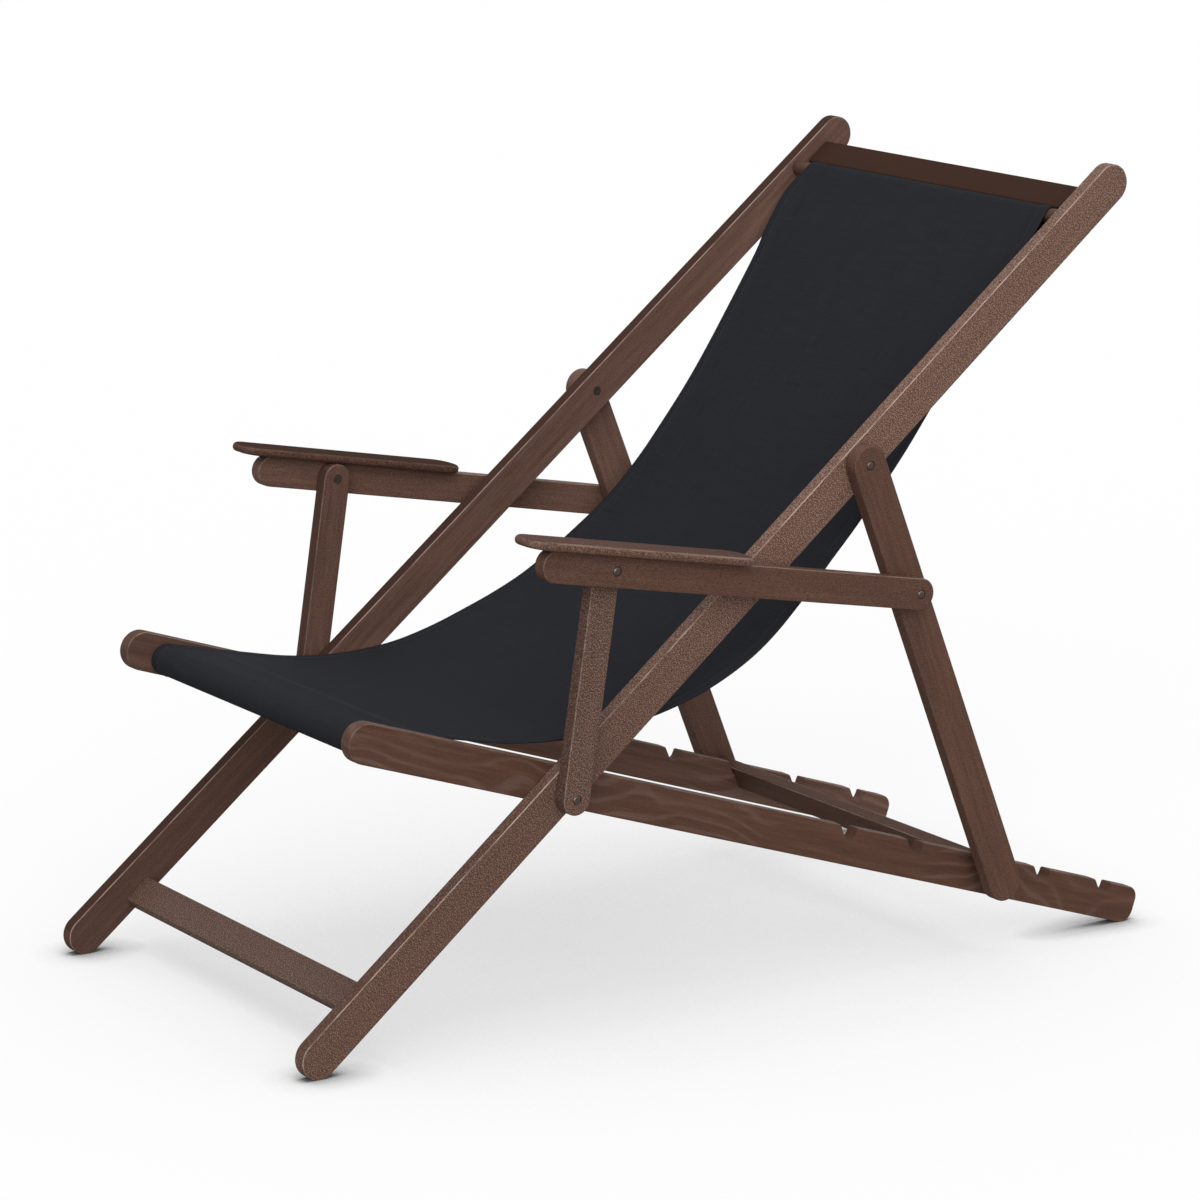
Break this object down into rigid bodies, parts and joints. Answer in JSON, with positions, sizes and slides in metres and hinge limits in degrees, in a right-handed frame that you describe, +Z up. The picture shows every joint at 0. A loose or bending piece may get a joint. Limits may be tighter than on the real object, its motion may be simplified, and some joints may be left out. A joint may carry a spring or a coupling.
{
  "type": "folding deck chair",
  "caption": "Folding wooden deck chair with a hanging cloth seat, flat armrests on pivoting posts and a prop frame that rests in notches to set the recline.",
  "frame": {"origin": "on the floor, under the middle of the chair's box", "axes": "+X to the sitter's left, +Y to the rear, +Z up; the sitter faces -Y"},
  "size_m": [0.627, 1.1819, 0.9171],
  "materials": {
    "stained_wood": "dark brown stain, fine grain, rounded arrises worn a little paler",
    "dark_steel": "dark bronzed steel, worn bright on the heads",
    "sling_cloth": "matt anthracite woven cloth with sewn hems"
  },
  "bodies": {
    "seat_frame": {"seat_rail_left": "stained_wood", "seat_rail_right": "stained_wood", "front_bar": "stained_wood"},
    "back_frame": {"long_rail_left": "stained_wood", "long_rail_right": "stained_wood", "head_rail": "stained_wood", "head_dowel": "stained_wood", "foot_stretcher": "stained_wood", "sling": "sling_cloth", "main_bolts": "dark_steel", "main_nuts": "dark_steel", "main_washers": "dark_steel", "prop_bolts": "dark_steel", "prop_nuts": "dark_steel", "prop_washers": "dark_steel"},
    "prop_frame": {"prop_leg_left": "stained_wood", "prop_leg_right": "stained_wood", "prop_crossbar": "stained_wood", "arm_rear_nuts": "dark_steel"},
    "post_left": {"arm_post_left": "stained_wood", "arm_front_nut_left": "dark_steel", "arm_front_bolt_left": "dark_steel", "arm_front_washer_left": "dark_steel"},
    "arm_left": {"arm_rail_left": "stained_wood", "arm_pad_left": "stained_wood", "arm_pad_dowels_left": "stained_wood", "arm_rear_bolt_left": "dark_steel"},
    "post_right": {"arm_post_right": "stained_wood", "arm_front_nut_right": "dark_steel", "arm_front_bolt_right": "dark_steel", "arm_front_washer_right": "dark_steel"},
    "arm_right": {"arm_rail_right": "stained_wood", "arm_pad_right": "stained_wood", "arm_pad_dowels_right": "stained_wood", "arm_rear_bolt_right": "dark_steel"}
  },
  "joints": [
    {"name": "back_lift", "type": "hinge", "parent": "seat_frame", "child": "back_frame", "pos_m": [0, -0.26382, 0.26791], "axis": [1, 0, 0], "range_deg": [0, 15], "deforming": ["sling"]},
    {"name": "prop_fold", "type": "hinge", "parent": "back_frame", "child": "prop_frame", "pos_m": [0, 0.1184, 0.60035], "axis": [1, 0, 0], "range_deg": [0, 105.73]},
    {"name": "post_left_turn", "type": "hinge", "parent": "back_frame", "child": "post_left", "pos_m": [0, -0.26382, 0.26791], "axis": [1, 0, 0], "range_deg": [-30.81, 0]},
    {"name": "arm_left_turn", "type": "hinge", "parent": "post_left", "child": "arm_left", "pos_m": [0, -0.23433, 0.51888], "axis": [1, 0, 0], "range_deg": [0, 73.76]},
    {"name": "post_right_turn", "type": "hinge", "parent": "back_frame", "child": "post_right", "pos_m": [0, -0.26382, 0.26791], "axis": [1, 0, 0], "range_deg": [-30.81, 0]},
    {"name": "arm_right_turn", "type": "hinge", "parent": "post_right", "child": "arm_right", "pos_m": [0, -0.23433, 0.51888], "axis": [1, 0, 0], "range_deg": [0, 73.76]}
  ],
  "couplings": [
    {"joint": "post_left_turn", "follows": "prop_fold", "ratio": -0.29127},
    {"joint": "arm_left_turn", "follows": "prop_fold", "ratio": 0.69755},
    {"joint": "post_right_turn", "follows": "prop_fold", "ratio": -0.29127},
    {"joint": "arm_right_turn", "follows": "prop_fold", "ratio": 0.69755}
  ]
}
